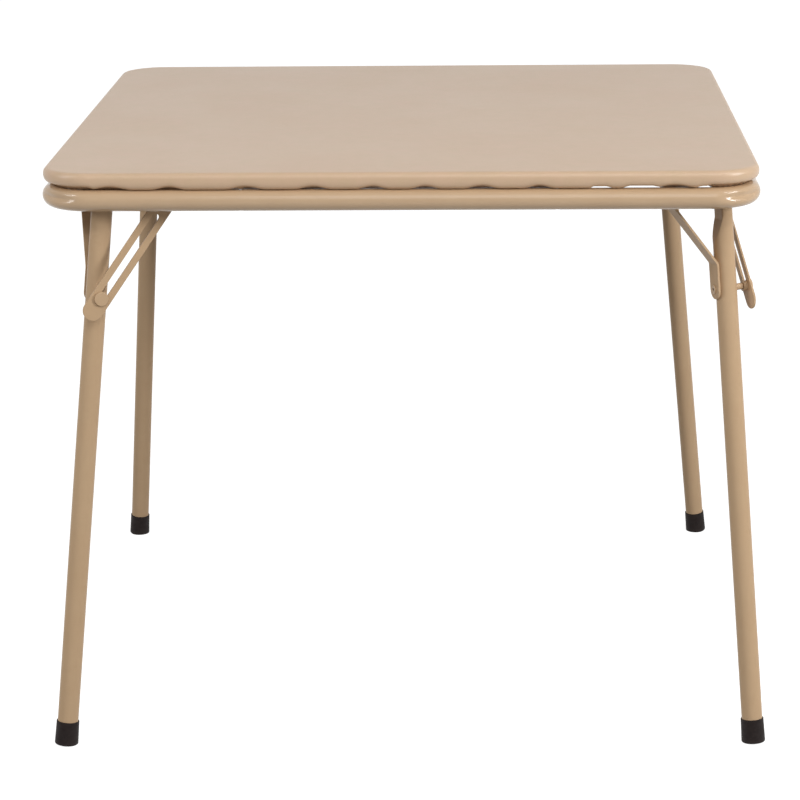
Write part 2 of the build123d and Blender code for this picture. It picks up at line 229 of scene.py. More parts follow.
# %% Lamps
table_middle = Vector((0.0, 0.0, 0.45))
lamps = {
    "high_front": ((0.5, -3.2, 2.9), 2.2, 38.0),
    "right_side": ((3.2, -1.8, 1.7), 0.8, 62.0),
    "left_side": ((-3.2, -1.8, 1.7), 0.8, 20.0),
    "right_spot": ((2.5, -1.9, 3.1), 0.34, 15.0),
    "left_spot": ((-2.6, -1.9, 2.9), 0.34, 18.0),
}


def make_lamp(name, place, size, watts):
    """A square soft lamp that faces the middle of the table."""
    data = bpy.data.lights.new(name, "AREA")
    data.size = size
    data.energy = watts
    lamp = bpy.data.objects.new(name, data)
    lamp.location = place
    aim = table_middle - Vector(place)
    lamp.rotation_euler = aim.to_track_quat("-Z", "Y").to_euler()
    bpy.context.scene.collection.objects.link(lamp)


for lamp_name, (lamp_place, lamp_size, lamp_watts) in lamps.items():
    make_lamp(lamp_name, lamp_place, lamp_size, lamp_watts)
print("lamps:", ", ".join(lamps))

# %% [markdown]
# Every finish on this table shows some of the same few small effects, each at its own scale: a
# tone that clouds from place to place, a skin that is never perfectly smooth, a gloss that
# isn't even, and a grain of small pebbles. They could be built into each material anew, but as
# shader node groups with named sockets they are built once, and vinyl, paint, board and rubber
# share them. The groups read the piece's own coordinates, which move with the piece when a leg
# folds, so the grain never slides over the surface.

# %% A helper for node groups
def start_group(name, inputs, outputs):
    """An empty shader group with its named sockets, and the nodes that hold them."""
    group = bpy.data.node_groups.new(name, "ShaderNodeTree")
    for label, kind, value in inputs:
        socket = group.interface.new_socket(name=label, in_out="INPUT", socket_type=kind)
        if value is not None:
            socket.default_value = value
    for label, kind in outputs:
        group.interface.new_socket(name=label, in_out="OUTPUT", socket_type=kind)
    return group, group.nodes.new("NodeGroupInput"), group.nodes.new("NodeGroupOutput")


print("helper:", start_group.__name__)

# %% Group: a tone that clouds from place to place
def make_cloud_group():
    """Mixes two colours by soft noise. Amount is how much of the second colour shows."""
    group, start, end = start_group(
        "cloudy tone",
        [
            ("Vector", "NodeSocketVector", None),
            ("Colour", "NodeSocketColor", (0.8, 0.8, 0.8, 1.0)),
            ("Second Colour", "NodeSocketColor", (0.5, 0.5, 0.5, 1.0)),
            ("Scale", "NodeSocketFloat", 14.0),
            ("Amount", "NodeSocketFloat", 0.5),
        ],
        [("Colour", "NodeSocketColor"), ("Mask", "NodeSocketFloat")],
    )
    clouds = add_node(group, "ShaderNodeTexNoise", values=[("Detail", 4.0), ("Roughness", 0.6)])
    spread = add_node(group, "ShaderNodeMapRange", values=[("From Min", 0.36), ("From Max", 0.64)])
    share = add_node(group, "ShaderNodeMath", "MULTIPLY")
    mix = add_colour_mix(group)
    link(group, start, "Vector", clouds, "Vector")
    link(group, start, "Scale", clouds, "Scale")
    link(group, clouds, 0, spread, "Value")
    link(group, spread, 0, share, 0)
    link(group, start, "Amount", share, 1)
    link(group, share, 0, mix, 0)
    link(group, start, "Colour", mix, mix_first)
    link(group, start, "Second Colour", mix, mix_second)
    link(group, mix, mix_result, end, "Colour")
    link(group, spread, 0, end, "Mask")
    return group


cloud_group = make_cloud_group()
print("group:", cloud_group.name)

# %% Group: a skin that is never perfectly smooth
finer_waves = 3.7


def make_skin_group():
    """Height of a sprayed or moulded skin: long soft waves with finer ones on them."""
    group, start, end = start_group(
        "uneven skin",
        [
            ("Vector", "NodeSocketVector", None),
            ("Scale", "NodeSocketFloat", 300.0),
            ("Fine Share", "NodeSocketFloat", 0.3),
        ],
        [("Height", "NodeSocketFloat")],
    )
    broad = add_node(group, "ShaderNodeTexNoise", values=[("Detail", 1.0)])
    finer = add_node(group, "ShaderNodeMath", "MULTIPLY", [(1, finer_waves)])
    fine = add_node(group, "ShaderNodeTexNoise", values=[("Detail", 2.0)])
    part = add_node(group, "ShaderNodeMath", "MULTIPLY")
    total = add_node(group, "ShaderNodeMath", "ADD")
    link(group, start, "Vector", broad, "Vector")
    link(group, start, "Scale", broad, "Scale")
    link(group, start, "Scale", finer, 0)
    link(group, start, "Vector", fine, "Vector")
    link(group, finer, 0, fine, "Scale")
    link(group, fine, 0, part, 0)
    link(group, start, "Fine Share", part, 1)
    link(group, broad, 0, total, 0)
    link(group, part, 0, total, 1)
    link(group, total, 0, end, "Height")
    return group


skin_group = make_skin_group()
print("group:", skin_group.name)

# %% Group: a gloss that isn't even
def make_gloss_group():
    """Roughness that drifts between two values in patches."""
    group, start, end = start_group(
        "uneven gloss",
        [
            ("Vector", "NodeSocketVector", None),
            ("Scale", "NodeSocketFloat", 20.0),
            ("Low", "NodeSocketFloat", 0.3),
            ("High", "NodeSocketFloat", 0.4),
        ],
        [("Roughness", "NodeSocketFloat")],
    )
    patches = add_node(group, "ShaderNodeTexNoise", values=[("Detail", 3.0)])
    spread = add_node(group, "ShaderNodeMapRange", values=[("From Min", 0.3), ("From Max", 0.7)])
    link(group, start, "Vector", patches, "Vector")
    link(group, start, "Scale", patches, "Scale")
    link(group, patches, 0, spread, "Value")
    link(group, start, "Low", spread, "To Min")
    link(group, start, "High", spread, "To Max")
    link(group, spread, 0, end, "Roughness")
    return group


gloss_group = make_gloss_group()
print("group:", gloss_group.name)

# %% Group: pebbled leather grain
crease_wander = 0.6 * mm


def make_grain_group():
    """Rounded pebbles with creases between them, as embossed into vinyl or cast in foam."""
    group, start, end = start_group(
        "pebbled grain",
        [
            ("Vector", "NodeSocketVector", None),
            ("Scale", "NodeSocketFloat", 900.0),
            ("Crease", "NodeSocketFloat", 0.25),
        ],
        [("Height", "NodeSocketFloat"), ("Crease Mask", "NodeSocketFloat")],
    )
    half_scale = add_node(group, "ShaderNodeMath", "MULTIPLY", [(1, 0.5)])
    bend = add_node(group, "ShaderNodeTexNoise", values=[("Detail", 1.0)])
    shrink = add_node(group, "ShaderNodeVectorMath", "SCALE", [("Scale", crease_wander)])
    bent = add_node(group, "ShaderNodeVectorMath", "ADD")
    pebbles = group.nodes.new("ShaderNodeTexVoronoi")
    pebbles.feature = "DISTANCE_TO_EDGE"
    rise = add_node(group, "ShaderNodeMapRange", values=[("From Min", 0.0)])
    rise.interpolation_type = "SMOOTHSTEP"
    crease = add_node(group, "ShaderNodeMath", "SUBTRACT", [(0, 1.0)])
    link(group, start, "Scale", half_scale, 0)
    link(group, start, "Vector", bend, "Vector")
    link(group, half_scale, 0, bend, "Scale")
    link(group, bend, 1, shrink, 0)
    link(group, start, "Vector", bent, 0)
    link(group, shrink, 0, bent, 1)
    link(group, bent, 0, pebbles, "Vector")
    link(group, start, "Scale", pebbles, "Scale")
    link(group, pebbles, 0, rise, "Value")
    link(group, start, "Crease", rise, "From Max")
    link(group, rise, 0, crease, 1)
    link(group, rise, 0, end, "Height")
    link(group, crease, 0, end, "Crease Mask")
    return group


grain_group = make_grain_group()
print("group:", grain_group.name)

# %% [markdown]
# A material is started in the same way each time: a Principled BSDF, the piece's own
# coordinates, and a bump that turns heights into normals. The bump's distance is a real
# length, so a paint skin of a few hundredths of a millimetre is written as that.

# %% A helper for materials
def start_material(name):
    """A material with an empty Principled BSDF and the piece's own coordinates."""
    material = bpy.data.materials.new(name)
    material.use_nodes = True
    tree = material.node_tree
    shader = tree.nodes["Principled BSDF"]
    place = tree.nodes.new("ShaderNodeTexCoord")
    return material, tree, shader, place


def add_effect(tree, group, place, values=()):
    """One of the shared groups, fed with the piece's own coordinates."""
    node = tree.nodes.new("ShaderNodeGroup")
    node.node_tree = group
    link(tree, place, "Object", node, "Vector")
    for socket, value in values:
        node.inputs[socket].default_value = value
    return node


def add_bump(tree, height, socket, shader, distance, strength=1.0, after=None):
    """Turns a height into the shader's normal, on top of an earlier bump if there is one."""
    bump = add_node(tree, "ShaderNodeBump", values=[("Strength", strength), ("Distance", distance)])
    link(tree, height, socket, bump, "Height")
    if after:
        link(tree, after, "Normal", bump, "Normal")
    link(tree, bump, "Normal", shader, "Normal")
    return bump


def straight(value):
    """One part of a screen colour, from 0 to 255, as a share of real light."""
    share = value / 255
    return share / 12.92 if share <= 0.04045 else ((share + 0.055) / 1.055) ** 2.4


def rgba(red, green, blue):
    """A colour written as on a paint chart, from 0 to 255, as the shader wants it."""
    return (straight(red), straight(green), straight(blue), 1.0)


print("middle grey:", [round(part, 3) for part in rgba(128, 128, 128)])

# %% [markdown]
# The vinyl of the top is a soft plastic sheet with a fine pebble grain. It is almost the same
# beige as the frame, but because it is seen almost edge on it reflects the white room and
# looks greyer. That isn't painted in: the shader's own Fresnel does it. What is painted in is
# a faint cloudiness, a little pinker and a little greener, as the pigment lies in the sheet,
# and a painted shade that darkens the creases of the grain.

# %% Vinyl of the top
vinyl_beige = rgba(204, 174, 144)
vinyl_pink = rgba(205, 172, 144)
vinyl_green = rgba(198, 171, 138)
# The darker colour of the creases is painted shade.
vinyl_crease_shade = rgba(190, 160, 130)
crease_shade_amount = 0.25


def make_vinyl():
    """Clouded beige with painted shade in the creases, a fine pebble grain and long soft waves."""
    material, tree, shader, place = start_material("beige_vinyl")
    clouds = add_effect(tree, cloud_group, place, [
        ("Colour", vinyl_beige), ("Second Colour", vinyl_pink), ("Scale", 13.0), ("Amount", 0.8),
    ])
    patches = add_effect(tree, cloud_group, place, [
        ("Second Colour", vinyl_green), ("Scale", 52.0), ("Amount", 0.62),
    ])
    grain = add_effect(tree, grain_group, place, [("Scale", 850.0), ("Crease", 0.22)])
    # Painted shade: the creases of the grain are darkened by the crease mask.
    crease_shade = add_node(tree, "ShaderNodeMath", "MULTIPLY", [(1, crease_shade_amount)])
    tone = add_colour_mix(tree)
    tone.inputs[mix_second].default_value = vinyl_crease_shade
    link(tree, clouds, "Colour", patches, "Colour")
    link(tree, grain, "Crease Mask", crease_shade, 0)
    link(tree, crease_shade, 0, tone, 0)
    link(tree, patches, "Colour", tone, mix_first)
    link(tree, tone, mix_result, shader, "Base Color")
    gloss = add_effect(tree, gloss_group, place, [("Scale", 9.0), ("Low", 0.34), ("High", 0.38)])
    link(tree, gloss, "Roughness", shader, "Roughness")
    shader.inputs["IOR"].default_value = 1.55
    skin = add_effect(tree, skin_group, place, [("Scale", 60.0), ("Fine Share", 0.2)])
    waves = add_bump(tree, skin, "Height", shader, 0.10 * mm, 0.6)
    add_bump(tree, grain, "Height", shader, 0.03 * mm, 0.6, waves)
    return material


vinyl = make_vinyl()
print("material:", vinyl.name)

# %% [markdown]
# The steel is powder coated beige. Powder melts and flows in the oven, and it leaves a
# semi-gloss skin with the fine waves that painters call orange peel. The rivets are set
# after the tubes are cut but before the coating, so they wear the same paint. One material
# could do for all of them, but the coat doesn't come out alike everywhere: it flows smoothest
# on the big frame, which is the only steel piece with clear highlights, and it lies dullest
# on the thin braces. So one function makes the coat, with its gloss and its peel as values.

# %% Powder coat on steel
paint_beige = rgba(193, 164, 131)
paint_shade = rgba(189, 159, 126)


def make_paint(name, gloss_low, gloss_high, shine, peel):
    """A powder coat with its range of roughness, its strength of reflection and its peel."""
    material, tree, shader, place = start_material(name)
    clouds = add_effect(tree, cloud_group, place, [
        ("Colour", paint_beige), ("Second Colour", paint_shade), ("Scale", 22.0), ("Amount", 0.5),
    ])
    link(tree, clouds, "Colour", shader, "Base Color")
    gloss = add_effect(tree, gloss_group, place, [
        ("Scale", 35.0), ("Low", gloss_low), ("High", gloss_high),
    ])
    link(tree, gloss, "Roughness", shader, "Roughness")
    skin = add_effect(tree, skin_group, place, [("Scale", 330.0), ("Fine Share", 0.35)])
    add_bump(tree, skin, "Height", shader, peel, 0.7)
    shader.inputs["Specular IOR Level"].default_value = shine
    return material


paint = make_paint("beige_powder_coat", 0.26, 0.32, 0.07, 0.035 * mm)
frame_paint = make_paint("beige_powder_coat_on_frame", 0.15, 0.20, 0.40, 0.030 * mm)
rivet_paint = make_paint("beige_powder_coat_on_rivets", 0.20, 0.26, 0.20, 0.025 * mm)
brace_paint = make_paint("beige_powder_coat_on_braces", 0.34, 0.40, 0.04, 0.035 * mm)
coats = (paint, frame_paint, rivet_paint, brace_paint)
print("materials:", ", ".join(coat.name for coat in coats))

# %% [markdown]
# Under the vinyl lies a board of pressed wood fibre, brown and raw, with the weave of the
# press screen on it. A picture of a board could be laid on it, but two crossed wave textures
# have no seams, and they make the weave at the real pitch of the screen's wires. A bump turns
# it into dents. A wave texture of scale 1 repeats every 0.314 metres, which gives the scale.

# %% Raw fibreboard
board_brown = rgba(140, 104, 72)
board_dark = rgba(96, 66, 43)
screen_pitch = 1.6 * mm
pitch_at_scale_one = 0.314
wave_scale = pitch_at_scale_one / screen_pitch


def make_fibreboard():
    """Mottled brown fibres with the dents of the press screen."""
    material, tree, shader, place = start_material("raw_fibreboard")
    clouds = add_effect(tree, cloud_group, place, [
        ("Colour", board_brown), ("Second Colour", board_dark), ("Scale", 420.0), ("Amount", 0.75),
    ])
    link(tree, clouds, "Colour", shader, "Base Color")
    shader.inputs["Roughness"].default_value = 0.85
    weave = []
    for direction in ("X", "Y"):
        bars = tree.nodes.new("ShaderNodeTexWave")
        bars.bands_direction = direction
        bars.inputs["Scale"].default_value = wave_scale
        link(tree, place, "Object", bars, "Vector")
        weave.append(bars)
    both = add_node(tree, "ShaderNodeMath", "MULTIPLY")
    link(tree, weave[0], "Fac", both, 0)
    link(tree, weave[1], "Fac", both, 1)
    press = add_bump(tree, both, 0, shader, 0.12 * mm, 0.7)
    add_bump(tree, clouds, "Mask", shader, 0.10 * mm, 0.6, press)
    return material


fibreboard = make_fibreboard()
print("material:", fibreboard.name)

# %% [markdown]
# The foam between board and vinyl is cream when it is new, and yellows in places. The cover
# hides it, but it gets its own colours and open cells for a cut through the top. The cells
# need no group of their own: they are the pebbles of the grain, sunk in instead of raised.

# %% Foam of the padding
foam_cream = rgba(226, 214, 176)
foam_yellow = rgba(205, 186, 136)


def make_foam():
    """Cream foam that has yellowed in places, with open cells sunk into it."""
    material, tree, shader, place = start_material("cream_foam")
    clouds = add_effect(tree, cloud_group, place, [
        ("Colour", foam_cream), ("Second Colour", foam_yellow), ("Scale", 9.0), ("Amount", 0.6),
    ])
    link(tree, clouds, "Colour", shader, "Base Color")
    shader.inputs["Roughness"].default_value = 0.95
    cells = add_effect(tree, grain_group, place, [("Scale", 620.0), ("Crease", 0.4)])
    add_bump(tree, cells, "Height", shader, -0.3 * mm, 0.9)
    return material


foam = make_foam()
print("material:", foam.name)

# %% [markdown]
# Staples and screws are steel with a thin coat of zinc, which the plating bath leaves faintly
# mottled. One grey and one gloss would make them look like chrome, so both drift.

# %% Zinc plate on staples and screws
zinc_grey = rgba(196, 197, 196)
zinc_dark = rgba(150, 152, 155)


def make_zinc():
    """Bare metal with cloudy grey spangles and an uneven gloss."""
    material, tree, shader, place = start_material("zinc_plate")
    clouds = add_effect(tree, cloud_group, place, [
        ("Colour", zinc_grey), ("Second Colour", zinc_dark), ("Scale", 260.0), ("Amount", 0.6),
    ])
    link(tree, clouds, "Colour", shader, "Base Color")
    shader.inputs["Metallic"].default_value = 1.0
    gloss = add_effect(tree, gloss_group, place, [("Scale", 240.0), ("Low", 0.28), ("High", 0.46)])
    link(tree, gloss, "Roughness", shader, "Roughness")
    skin = add_effect(tree, skin_group, place, [("Scale", 900.0)])
    add_bump(tree, skin, "Height", shader, 0.01 * mm, 0.5)
    return material


zinc = make_zinc()
print("material:", zinc.name)

# %% [markdown]
# The foot caps are plain moulded rubber, brown-black and matt. A cap picks up dust where it
# stands, so its toe is a little greyer, and the mask for that reads the height along the
# piece's own coordinates.

# %% Rubber of the foot caps
rubber_black = rgba(24, 16, 15)
rubber_grey = rgba(52, 44, 41)
dust_height = 9.0 * mm
dust_amount = 0.35
rubber_shine = 0.16


def make_rubber():
    """Matt brown-black rubber that is greyer towards its toe."""
    material, tree, shader, place = start_material("black_rubber")
    clouds = add_effect(tree, cloud_group, place, [
        ("Colour", rubber_black), ("Second Colour", rubber_grey), ("Scale", 180.0), ("Amount", 0.25),
    ])
    split = tree.nodes.new("ShaderNodeSeparateXYZ")
    low = add_node(tree, "ShaderNodeMapRange", values=[
        ("From Min", dust_height), ("From Max", 0.0), ("To Min", 0.0), ("To Max", dust_amount),
    ])
    dust = add_colour_mix(tree)
    dust.inputs[mix_second].default_value = rubber_grey
    link(tree, place, "Object", split, 0)
    link(tree, split, "Z", low, "Value")
    link(tree, low, 0, dust, 0)
    link(tree, clouds, "Colour", dust, mix_first)
    link(tree, dust, mix_result, shader, "Base Color")
    shader.inputs["Specular IOR Level"].default_value = rubber_shine
    gloss = add_effect(tree, gloss_group, place, [("Scale", 120.0), ("Low", 0.50), ("High", 0.68)])
    link(tree, gloss, "Roughness", shader, "Roughness")
    skin = add_effect(tree, skin_group, place, [("Scale", 700.0), ("Fine Share", 0.6)])
    add_bump(tree, skin, "Height", shader, 0.06 * mm, 0.7)
    return material


rubber = make_rubber()
print("material:", rubber.name)

# %% [markdown]
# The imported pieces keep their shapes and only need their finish. The record says which slot
# each one belongs to, so a table from slot to material dresses them all. The braces share
# their slot with the legs and are told apart by their names, for their duller coat.

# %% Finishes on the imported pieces
finishes = {
    "cover_vinyl": vinyl,
    "foam": foam,
    "board": fibreboard,
    "zinc_steel": zinc,
    "cap_rubber": rubber,
    "painted_rivet": rivet_paint,
    "painted_steel": paint,
}
for piece in frame["record"]["subparts"]:
    finish = finishes[piece["material_slot"]]
    if piece["node"].endswith("side_brace"):
        finish = brace_paint
    for slot in nodes[piece["node"]].material_slots:
        slot.material = finish

# %% [markdown]
# The padded top and the frame are both rounded squares, so their meshes are made alike. The
# outline is walked once, counter-clockwise from the front left, and each stop on it knows the
# way outwards and where it lies on its side or its corner. A ring of points is then placed at
# each step of the cross-section, and the rings are joined with four-sided faces.

# %% Walk round a rounded square
class Stop(NamedTuple):
    """One place on the outline, and the way outwards there.

    On a side, share is its distance from the side's middle, where 1 is half the square's
    width. On a corner, turn runs from 0 to 1.
    """

    place: Vector
    outward: Vector
    share: float | None = None
    turn: float | None = None

    def inwards(self, inset):
        """The place that far in from the outline."""
        return self.place - self.outward * inset


def walk_square(half_width, corner_radius, side_steps, corner_steps):
    """The stops on a rounded square, counter-clockwise from the front left."""
    side_end = half_width - corner_radius
    stops = []
    for side in range(4):
        quarter = Matrix.Rotation(side * math.pi / 2, 2)
        for step in range(side_steps):
            along = side_end * (2 * step / side_steps - 1)
            place = quarter @ Vector((along, -half_width))
            stops.append(Stop(place, quarter @ Vector((0, -1)), share=along / half_width))
        for step in range(corner_steps):
            turn = step / corner_steps
            angle = math.radians(-90 + 90 * turn)
            outward = Vector((math.cos(angle), math.sin(angle)))
            place = Vector((side_end, -side_end)) + outward * corner_radius
            stops.append(Stop(quarter @ place, quarter @ outward, turn=turn))
    return stops


print("stops on a coarse walk:", len(walk_square(1.0, 0.2, 8, 4)))

# %% Turn rings into a piece
def make_tool(name, mesh):
    """An object of this mesh, with flat faces."""
    data = bpy.data.meshes.new(name)
    mesh.to_mesh(data)
    mesh.free()
    tool = bpy.data.objects.new(name, data)
    bpy.context.scene.collection.objects.link(tool)
    return tool


def make_piece(name, mesh, material):
    """An object of this mesh, smooth and with its finish."""
    for face in mesh.faces:
        face.smooth = True
    piece = make_tool(name, mesh)
    piece.data.materials.append(material)
    return piece


def join_rings(name, rings, material):
    """A closed mesh of rings, with a single point where a ring has shrunk to one."""
    mesh = bmesh.new()
    made = [[mesh.verts.new(point) for point in ring] for ring in rings]
    for inner, outer in zip(made, made[1:]):
        count = max(len(inner), len(outer))
        for index in range(count):
            after = (index + 1) % count
            corners = [inner[index % len(inner)], outer[index % len(outer)]]
            corners += [outer[after % len(outer)], inner[after % len(inner)]]
            mesh.faces.new(list(dict.fromkeys(corners)))
    return make_piece(name, mesh, material)


print("helpers:", make_piece.__name__, join_rings.__name__)

# %% [markdown]
# The cover is vinyl pulled tight over foam and board, and stapled underneath. It is soft
# enough to bulge between the staples and to pull up into a pucker at each of them, and those
# puckers are the dark scallops that show above the front rail. At three of them, at the right
# of each side, the hem lies so flat that daylight shows through. The corners are gathered into
# pleats. A cloth simulation could find such folds, but not at the places where the photograph
# has them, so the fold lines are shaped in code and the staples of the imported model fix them.

# %% Sizes of the padded top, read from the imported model
cover_low, cover_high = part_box("vinyl_cover")
board_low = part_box("top_board")[0]
foam_low, foam_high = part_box("foam_pad")
rail_low, rail_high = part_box("frame_rail")
top_half = cover_high.x
top_height = cover_high.z
vinyl_thickness = board_low.x - cover_low.x
hem_height = board_low.z - vinyl_thickness
rail_radius = (rail_high.z - rail_low.z) / 2
rail_line = rail_high.x - rail_radius
rail_height = (rail_high.z + rail_low.z) / 2
corner_radius = 58.0 * mm
print("top:", round(2 * top_half, 4), "m wide, vinyl", round(vinyl_thickness / mm, 2), "mm thick")

# %% Where the cover puckers and where daylight shows
staple_shares = (
    -0.80, -0.635, -0.423, -0.236, -0.071, 0.073,
    0.229, 0.387, 0.557, 0.668, 0.758, 0.85,
)
pucker_shares = (
    0.045, 0.034, 0.040, 0.036, 0.032, 0.032,
    0.036, 0.032, 0.021, 0.039, 0.044, 0.021,
)
open_lifts = {8: 0.56, 9: 0.70, 11: 0.54}
pucker_spread = 1.5
open_steepness = 2.2
daylight_spread = 1.45
daylight_steepness = 3
corner_pull = 0.03
screw_places = (-185.0 * mm, 185.0 * mm)
screw_pull = 5.0 * mm


def soft_bump(share, middle, reach):
    """A soft bump, 1 in its middle and 0 beyond its reach."""
    distance = abs(share - middle) / reach
    return math.cos(min(distance, 1.0) * math.pi / 2) ** 2


def pucker(stop):
    """How far the hem is pulled up, from 0 where it bulges to 1 at a staple or a corner."""
    if stop.share is None:
        return 1.0
    lifts = []
    for index, (middle, reach) in enumerate(zip(staple_shares, pucker_shares)):
        lift = soft_bump(stop.share, middle, pucker_spread * reach)
        if index in open_lifts:
            lift = min(open_steepness * lift, open_lifts[index])
        lifts.append(lift)
    side_end = 1 - corner_radius / top_half
    lifts += [soft_bump(stop.share, end, corner_pull) for end in (-side_end, side_end)]
    return max(lifts)


def screw_draw(stop):
    """How far a screw draws the hem down with it, 1 at a screw and 0 a few millimetres away."""
    if stop.share is None:
        return 0.0
    return max(soft_bump(stop.share * top_half, place, screw_pull) for place in screw_places)


def daylight(stop):
    """How flat the hem lies behind its edge: 1 where light shows through."""
    if stop.share is None:
        return 0.0
    lights = []
    for index in open_lifts:
        reach = daylight_spread * pucker_shares[index]
        light = daylight_steepness * soft_bump(stop.share, staple_shares[index], reach)
        lights.append(min(1.0, light))
    return max(lights)


print("puckers on a side:", len(staple_shares))

# %% [markdown]
# The cross-section of the cover starts at its upper edge, rolls over the foam, bulges a
# little, tucks under the board and runs inwards as the hem. A fillet would do for both rolls,
# but foam under a stretched skin is a little fuller, so they are quarter superellipses. Under
# the board the hem sags by an amount that follows the puckers, and wherever it would touch the
# rail it lies on the rail instead.

# %% Measures of the cover's cross-section
section_steps = 10
hem_steps = 12
edge_height = 702.0 * mm
crown = 0.9 * mm
upper_roll = 7.5 * mm
lower_roll = 6.0 * mm
bulge_depth = 4.2 * mm
fold_depth = 5.9 * mm
fold_inset = 19.0 * mm
fold_end = 27.0 * mm
hem_width = 36.0 * mm
rest_gap = 0.12 * mm
roll_power = 2.35
bulge_reach = 0.6
pleats = 9
pleat_depth = 2.3 * mm
pleat_sharpness = 1.6
pleat_drift = 0.35
screw_dip = 6.0 * mm
wobble_scale = 18
wobble_layer = 3.1
fold_wobble = 0.5 * mm
hem_wobble = 1.2 * mm
print("hem:", round(hem_width / mm), "mm wide, pleats on a corner:", pleats)

# %% Rolls, pleats and the rail below
def smooth(value):
    """An S-shaped step from 0 to 1."""
    value = min(max(value, 0.0), 1.0)
    return value * value * (3 - 2 * value)


def rail_top(inset):
    """Height of the rail's surface under a place that far in from the top's edge."""
    across = top_half - inset - rail_line
    if abs(across) >= rail_radius:
        return 0.0
    return rail_height + math.sqrt(rail_radius ** 2 - across ** 2)


def rolled(angle, across, along):
    """A point of a quarter superellipse: how far in from its side, and how far along it."""
    inset = across * (1 - math.cos(angle) ** (2 / roll_power))
    return inset, along * math.sin(angle) ** (2 / roll_power)


def pleat(stop, wobble):
    """How far the gathered hem hangs down at its pleats, which are only on the corners."""
    if stop.turn is None:
        return 0.0
    ridge = 0.5 + 0.5 * math.cos(2 * math.pi * (pleats * stop.turn + pleat_drift * wobble))
    return pleat_depth * ridge ** pleat_sharpness


print("rail's top under the hem:", round(rail_top(top_half - rail_line) / mm, 1), "mm")

# %% Cross-section of the cover
def hem_section(stop, sag, roll_in, wobble):
    """Inset and height of the hem, from the end of the lower roll to the cut edge."""
    fold = fold_depth * (1 - daylight(stop)) + fold_wobble * wobble
    gather = pleat(stop, wobble)
    draw = screw_dip * screw_draw(stop)
    hem = []
    for step in range(1, hem_steps + 1):
        inset = roll_in + (hem_width + hem_wobble * wobble - roll_in) * step / hem_steps
        inner = smooth((inset - roll_in) / (fold_inset - roll_in))
        down = sag + (fold - sag) * inner
        if inset > fold_inset:
            down = fold * (1 - smooth((inset - fold_inset) / (fold_end - fold_inset)))
        down += gather * inner
        down += draw * soft_bump(inset, top_half - rail_line, screw_pull)
        height = max(hem_height - max(down, 0.0), rail_top(inset) + rest_gap)
        hem.append((inset, min(height, hem_height)))
    return hem


def cover_section(stop):
    """Inset and height of the cover's outer skin, from the crown's edge to the hem's cut edge."""
    sag = bulge_depth * (1 - pucker(stop))
    noise_place = Vector((stop.place.x * wobble_scale, stop.place.y * wobble_scale, wobble_layer))
    wobble = noise.noise(noise_place)
    quarter = math.pi / 2
    section = []
    for step in range(1, section_steps + 1):
        angle = quarter * (1 - step / section_steps)
        inset, rise = rolled(angle, upper_roll, top_height - crown - edge_height)
        section.append((inset, edge_height + rise))
    roll_in = lower_roll + bulge_reach * sag
    for step in range(1, section_steps + 1):
        angle = quarter * step / section_steps
        inset, drop = rolled(angle, roll_in, edge_height - hem_height + sag)
        section.append((inset, edge_height - drop))
    return section + hem_section(stop, sag, roll_in, wobble)


print("points in the section:", len(cover_section(walk_square(top_half, corner_radius, 4, 2)[0])))

# %% [markdown]
# A skin with no thickness would look like paper at the cut edge of the hem. A Solidify
# modifier could thicken it, but the new skin could cut through itself at the hem's tight
# folds. So the outer skin is made first, from the middle of the top out and down to the hem,
# and every second ring is then run back again as the inner skin, nearly one vinyl thickness
# further in. The upper face has a slight crown and drifts by a tenth of a millimetre, as
# padding does.

# %% Build the padded cover
cover_side_steps = 190
cover_corner_steps = 40
crown_steps = 14
crown_crowding = 1.6
crown_sharpness = 8
drift_depth = 0.14 * mm
drift_scale = 7
drift_layer = 0.4
drift_sharpness = 12
drift_limit = 0.2 * mm
inner_offset = 0.9 * vinyl_thickness
inner_step = 2
under_shares = (0.98, 0.6, 0.2)


def crowned(place, share):
    """A point of the upper face: level in the middle and lower by the crown at its edge."""
    noise_place = Vector((place.x * drift_scale, place.y * drift_scale, drift_layer))
    drift = drift_depth * noise.noise(noise_place) * (1 - share ** drift_sharpness)
    height = top_height - crown * share ** crown_sharpness + drift
    return (place.x, place.y, min(height, top_height + drift_limit))


def outer_skin(stops, sections, rim):
    """Rings from the middle of the top over its edge to the cut edge of the hem."""
    rings = [[(0.0, 0.0, top_height)]]
    for step in range(1, crown_steps + 1):
        share = 1 - (1 - step / crown_steps) ** crown_crowding
        rings.append([crowned(place * share, share) for place in rim])
    for row in zip(*sections):
        rings.append([(*stop.inwards(inset), height) for stop, (inset, height) in zip(stops, row)])
    return rings


def inner_skin(stops, sections, rim):
    """Rings from the cut edge of the hem back to the middle of the top, under the vinyl."""
    under = top_height - crown - vinyl_thickness
    above_hem = hem_height + inner_offset
    rings = []
    for index in range(len(sections[0]) - 1, -1, -inner_step):
        in_hem = index >= len(sections[0]) - hem_steps
        ring = []
        for stop, section in zip(stops, sections):
            inset, height = section[index]
            if in_hem:
                height = height + inner_offset
            else:
                inset = inset + inner_offset
                height = min(max(height, above_hem), under)
            ring.append((*stop.inwards(inset), height))
        rings.append(ring)
    for share in under_shares:
        rings.append([(place.x * share, place.y * share, under) for place in rim])
    rings.append([(0.0, 0.0, under)])
    return rings


def make_cover():
    """The outer skin from the middle of the top to the hem, and the inner skin back again."""
    stops = walk_square(top_half, corner_radius, cover_side_steps, cover_corner_steps)
    rim = [stop.inwards(upper_roll) for stop in stops]
    sections = [cover_section(stop) for stop in stops]
    rings = outer_skin(stops, sections, rim) + inner_skin(stops, sections, rim)
    return join_rings("padded_cover", rings, vinyl)


cover = make_cover()
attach(cover, "table_frame")
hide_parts("vinyl_cover")
print("cover:", len(cover.data.polygons), "faces")

# %% [markdown]
# The foam is a flat pad between board and vinyl, as a real one is cut from sheet. It is hidden
# by the cover, so a slab with rounded corners and soft edges is enough, made of rings like
# the cover, but it is there when the model is cut open.

